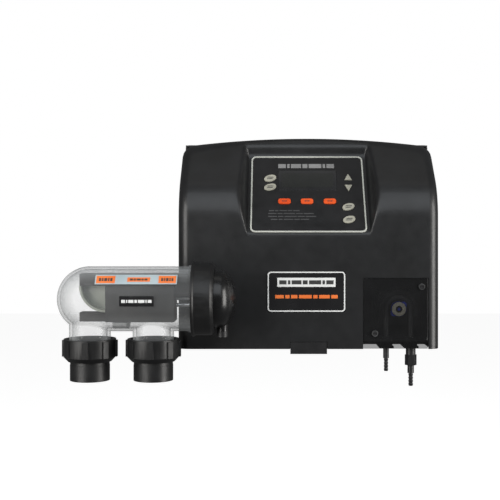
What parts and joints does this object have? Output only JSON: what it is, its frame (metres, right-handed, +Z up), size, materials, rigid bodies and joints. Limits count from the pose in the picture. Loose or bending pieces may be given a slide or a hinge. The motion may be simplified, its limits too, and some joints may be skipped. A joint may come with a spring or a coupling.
{
  "type": "salt chlorine generator",
  "caption": "Wall-hung controller with sloping key panel and dosing pump, beside a clear tubular electrolytic cell with two union ports.",
  "frame": {"origin": "centre of the wall bracket's four screw holes, on the wall's face", "axes": "+X to the right, +Y into the wall, +Z up"},
  "size_m": [0.5965, 0.2928, 0.4081],
  "materials": {
    "hood_black": "glossy black moulding",
    "box_black": "satin black moulding",
    "steel_plate": "zinc plated sheet",
    "seal_rubber": "matt",
    "fascia_black": "printed film, satin",
    "trim_cream": "satin",
    "window_smoke": "smoked window",
    "display_green": "unlit display",
    "key_beige": "satin",
    "key_orange": "satin",
    "board_green": "solder mask",
    "component_mix": "cans and heat sink",
    "toroid_copper": "varnished winding",
    "screw_steel": "stainless",
    "gland_black": "nylon",
    "pump_blue": "moulded",
    "motor_metal": "plated can",
    "rotor_cream": "acetal",
    "tube_silicone": "silicone",
    "barb_dark": "PVDF",
    "cover_smoke": "smoked polycarbonate",
    "badge_black": "printed film",
    "clear_acrylic": "clear polished",
    "union_black": "PVC, satin",
    "cap_black": "satin",
    "frame_grey": "translucent grey",
    "titanium_plate": "coated titanium",
    "vane_grey": "translucent"
  },
  "bodies": {
    "wall_bracket": {"wall_bracket": "steel_plate"},
    "controller": {"rear_box": "box_black", "hood_seal": "seal_rubber", "main_board": "board_green", "board_screws": "screw_steel", "board_components": "component_mix", "transformer": "toroid_copper", "transformer_clamp": "screw_steel", "cable_glands": "gland_black", "probe_sockets": "motor_metal", "power_outlet": "gland_black", "pump_housing": "pump_blue", "pump_bracket": "steel_plate", "pump_motor": "motor_metal", "pump_tube": "tube_silicone", "suction_barb": "barb_dark", "injection_barb": "barb_dark", "check_valve": "barb_dark"},
    "hood": {"hood": "hood_black", "panel_trim": "trim_cream", "panel_plate": "fascia_black", "display_window": "window_smoke", "display_module": "display_green", "control_board": "board_green", "control_board_screws": "screw_steel", "badge_plate": "badge_black"},
    "hood_latch": {"hood_latch": "box_black"},
    "pump_cover": {"pump_cover": "cover_smoke"},
    "cover_screw_upper": {"cover_screw_upper": "screw_steel"},
    "cover_screw_lower": {"cover_screw_lower": "screw_steel"},
    "pump_rotor": {"pump_rotor": "rotor_cream", "pump_shaft": "screw_steel", "roller_pins": "screw_steel"},
    "pump_roller_1": {"pump_roller_1": "pump_blue"},
    "pump_roller_2": {"pump_roller_2": "pump_blue"},
    "cell": {"cell_housing": "clear_acrylic", "base_divider": "frame_grey"},
    "electrode": {"electrode_cap": "cap_black", "cap_seal": "seal_rubber", "cap_gland": "gland_black", "electrode_frame": "frame_grey", "electrode_plates": "titanium_plate", "terminal_rods": "screw_steel", "flow_deflector": "vane_grey"},
    "locking_ring": {"locking_ring": "union_black"},
    "key_menu": {"key_menu": "key_beige"},
    "key_back": {"key_back": "key_beige"},
    "key_up": {"key_up": "key_beige"},
    "key_down": {"key_down": "key_beige"},
    "key_filter": {"key_filter": "key_orange"},
    "key_timer": {"key_timer": "key_orange"},
    "key_chlorine": {"key_chlorine": "key_orange"},
    "key_light": {"key_light": "key_beige"},
    "key_dosing": {"key_dosing": "key_beige"},
    "union_tail_left": {"union_tail_left": "union_black", "union_seal_left": "seal_rubber"},
    "union_nut_left": {"union_nut_left": "union_black"},
    "union_tail_right": {"union_tail_right": "union_black", "union_seal_right": "seal_rubber"},
    "union_nut_right": {"union_nut_right": "union_black"}
  },
  "joints": [
    {"name": "controller_unhook", "type": "slide", "parent": "wall_bracket", "child": "controller", "axis": [0, 0, 1], "range_m": [0, 0.018]},
    {"name": "hood_lift", "type": "slide", "parent": "controller", "child": "hood", "axis": [0, 0, 1], "range_m": [0, 0.03]},
    {"name": "hood_latch_flex", "type": "hinge", "parent": "controller", "child": "hood_latch", "pos_m": [0, -0.1434, -0.223], "axis": [1, 0, 0], "range_deg": [0, 8], "stiffness_Nm_per_rad": 0.5, "springref_deg": -1.15},
    {"name": "pump_cover_off", "type": "slide", "parent": "hood", "child": "pump_cover", "axis": [0, -1, 0], "range_m": [0, 0.04]},
    {"name": "cover_screw_upper_turn", "type": "hinge", "parent": "pump_cover", "child": "cover_screw_upper", "pos_m": [0.181, -0.165, -0.12], "axis": [0, -1, 0], "range_deg": [0, 720]},
    {"name": "cover_screw_lower_turn", "type": "hinge", "parent": "pump_cover", "child": "cover_screw_lower", "pos_m": [0.106, -0.165, -0.195], "axis": [0, -1, 0], "range_deg": [0, 720]},
    {"name": "pump_rotor_spin", "type": "hinge", "parent": "controller", "child": "pump_rotor", "pos_m": [0.146, -0.145, -0.157], "axis": [0, 1, 0], "continuous": true},
    {"name": "pump_roller_1_spin", "type": "hinge", "parent": "pump_rotor", "child": "pump_roller_1", "pos_m": [0.15381, -0.145, -0.15044], "axis": [0, 1, 0], "continuous": true},
    {"name": "pump_roller_2_spin", "type": "hinge", "parent": "pump_rotor", "child": "pump_roller_2", "pos_m": [0.13819, -0.145, -0.16356], "axis": [0, 1, 0], "continuous": true},
    {"name": "key_menu_press", "type": "slide", "parent": "hood", "child": "key_menu", "axis": [0, 0.7986, -0.6018], "range_m": [0, 0.0008], "stiffness_N_per_m": 400, "springref_m": -0.0005},
    {"name": "key_back_press", "type": "slide", "parent": "hood", "child": "key_back", "axis": [0, 0.7986, -0.6018], "range_m": [0, 0.0008], "stiffness_N_per_m": 400, "springref_m": -0.0005},
    {"name": "key_up_press", "type": "slide", "parent": "hood", "child": "key_up", "axis": [0, 0.7986, -0.6018], "range_m": [0, 0.0008], "stiffness_N_per_m": 400, "springref_m": -0.0005},
    {"name": "key_down_press", "type": "slide", "parent": "hood", "child": "key_down", "axis": [0, 0.7986, -0.6018], "range_m": [0, 0.0008], "stiffness_N_per_m": 400, "springref_m": -0.0005},
    {"name": "key_filter_press", "type": "slide", "parent": "hood", "child": "key_filter", "axis": [0, 0.7986, -0.6018], "range_m": [0, 0.0008], "stiffness_N_per_m": 400, "springref_m": -0.0005},
    {"name": "key_timer_press", "type": "slide", "parent": "hood", "child": "key_timer", "axis": [0, 0.7986, -0.6018], "range_m": [0, 0.0008], "stiffness_N_per_m": 400, "springref_m": -0.0005},
    {"name": "key_chlorine_press", "type": "slide", "parent": "hood", "child": "key_chlorine", "axis": [0, 0.7986, -0.6018], "range_m": [0, 0.0008], "stiffness_N_per_m": 400, "springref_m": -0.0005},
    {"name": "key_light_press", "type": "slide", "parent": "hood", "child": "key_light", "axis": [0, 0.7986, -0.6018], "range_m": [0, 0.0008], "stiffness_N_per_m": 400, "springref_m": -0.0005},
    {"name": "key_dosing_press", "type": "slide", "parent": "hood", "child": "key_dosing", "axis": [0, 0.7986, -0.6018], "range_m": [0, 0.0008], "stiffness_N_per_m": 400, "springref_m": -0.0005},
    {"name": "cell_lift", "type": "slide", "parent": "wall_bracket", "child": "cell", "axis": [0, 0, 1], "range_m": [0, 0.12]},
    {"name": "electrode_pull", "type": "slide", "parent": "cell", "child": "electrode", "axis": [1, 0, 0], "range_m": [0, 0.185]},
    {"name": "locking_ring_turn", "type": "hinge", "parent": "electrode", "child": "locking_ring", "pos_m": [-0.163, -0.235, -0.134], "axis": [1, 0, 0], "continuous": true},
    {"name": "union_tail_left_draw", "type": "slide", "parent": "cell", "child": "union_tail_left", "axis": [0, 0, -1], "range_m": [0, 0.0201]},
    {"name": "union_nut_left_turn", "type": "hinge", "parent": "union_tail_left", "child": "union_nut_left", "pos_m": [-0.337, -0.235, -0.215], "axis": [0, 0, -1], "range_deg": [0, 1440]},
    {"name": "union_tail_right_draw", "type": "slide", "parent": "cell", "child": "union_tail_right", "axis": [0, 0, -1], "range_m": [0, 0.0201]},
    {"name": "union_nut_right_turn", "type": "hinge", "parent": "union_tail_right", "child": "union_nut_right", "pos_m": [-0.24, -0.235, -0.215], "axis": [0, 0, -1], "range_deg": [0, 1440]}
  ],
  "couplings": [
    {"joint": "pump_roller_1_spin", "follows": "pump_rotor_spin", "ratio": -2.9245},
    {"joint": "pump_roller_2_spin", "follows": "pump_rotor_spin", "ratio": -2.9245},
    {"joint": "union_tail_left_draw", "follows": "union_nut_left_turn", "m_per_rad": 0.00079577},
    {"joint": "union_tail_right_draw", "follows": "union_nut_right_turn", "m_per_rad": 0.00079577}
  ]
}
